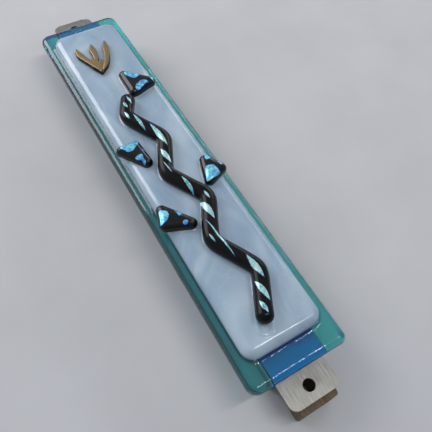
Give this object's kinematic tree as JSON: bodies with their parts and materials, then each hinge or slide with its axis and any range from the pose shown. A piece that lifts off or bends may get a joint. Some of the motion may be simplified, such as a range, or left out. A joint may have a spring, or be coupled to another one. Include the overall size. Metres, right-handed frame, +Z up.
{
  "type": "mezuzah case",
  "caption": "Fused glass mezuzah case: aqua base, opal panel, twisted cane, dichroic chips and a cast letter, on a metal channel that holds the rolled scroll and screws to a doorpost.",
  "frame": {"origin": "on the wall plane, midway between the centres of the two screw holes", "axes": "+Z up the doorpost along the case, +Y into the wall, the glass faces -Y, +X to the right as seen from the front"},
  "size_m": [0.038, 0.0255, 0.214],
  "materials": {
    "aqua_glass": "transparent, fire polished",
    "blue_glass": "transparent, smooth",
    "opal_glass": "opal, fire polished",
    "black_glass": "opaque black, fire polished",
    "dichroic": "crinkled dichroic film",
    "bronze": "antique bronze",
    "channel_metal": "brushed along its length",
    "tape": "clear acrylic foam",
    "glue": "clear glue",
    "block_wood": "dark oiled hardwood",
    "foam": "closed-cell foam",
    "film": "clear film",
    "parchment": "rolled parchment"
  },
  "bodies": {
    "case": {"front_sheet": "aqua_glass", "side_strip_left": "aqua_glass", "side_strip_right": "aqua_glass", "blue_strip": "blue_glass", "opal_panel": "opal_glass", "twist_cane": "black_glass", "cane_stripes": "dichroic", "chip_1": "black_glass", "chip_2": "black_glass", "chip_3": "black_glass", "chip_4": "black_glass", "chip_1_flakes": "dichroic", "chip_2_flakes": "dichroic", "chip_3_flakes": "dichroic", "chip_4_flakes": "dichroic", "letter_ornament": "bronze", "letter_glue": "glue", "back_channel": "channel_metal", "tape_top": "tape", "tape_middle": "tape", "tape_bottom": "tape", "end_block_top": "block_wood", "end_block_bottom": "block_wood", "cradle_top": "foam", "cradle_bottom": "foam"},
    "scroll": {"scroll_sleeve": "film", "parchment_scroll": "parchment"}
  },
  "joints": [
    {"name": "scroll_lift", "type": "slide", "parent": "case", "child": "scroll", "axis": [0, 1, 0], "range_m": [0, 0.03]}
  ]
}
